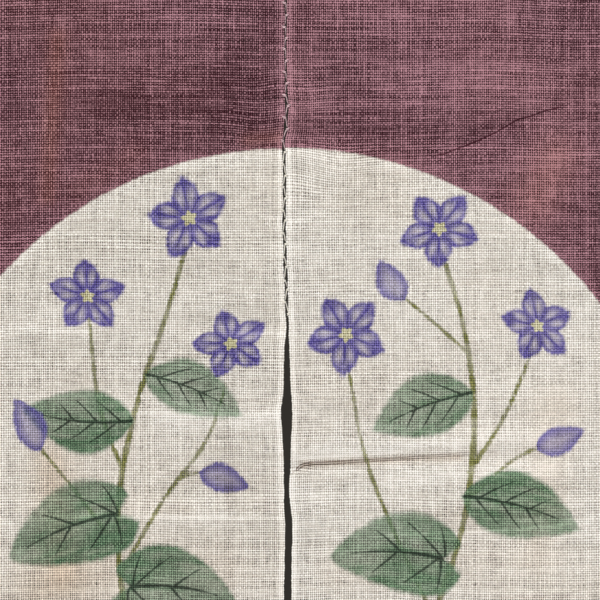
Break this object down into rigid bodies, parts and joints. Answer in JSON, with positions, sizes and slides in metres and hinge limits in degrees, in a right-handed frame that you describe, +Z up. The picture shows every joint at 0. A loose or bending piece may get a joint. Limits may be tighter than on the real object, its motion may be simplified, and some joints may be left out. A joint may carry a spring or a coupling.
{
  "type": "noren curtain",
  "caption": "Split doorway curtain of open-weave hemp, dyed with a pale disc on a mauve ground, its panels sewn edge to edge at the top and hanging free below.",
  "frame": {"origin": "middle of the top edge, where the cloth is held up", "axes": "+Z up, +X to the viewer's right along the top edge, the front faces -Y"},
  "size_m": [0.74, 0.0144, 0.9016],
  "materials": {
    "panel_left": "matt open-weave hemp, dyed mauve with a cream disc",
    "panel_right": "matt open-weave hemp, dyed mauve with a cream disc"
  },
  "bodies": {
    "root": {"panel_left": "panel_left", "panel_right": "panel_right"}
  },
  "joints": []
}
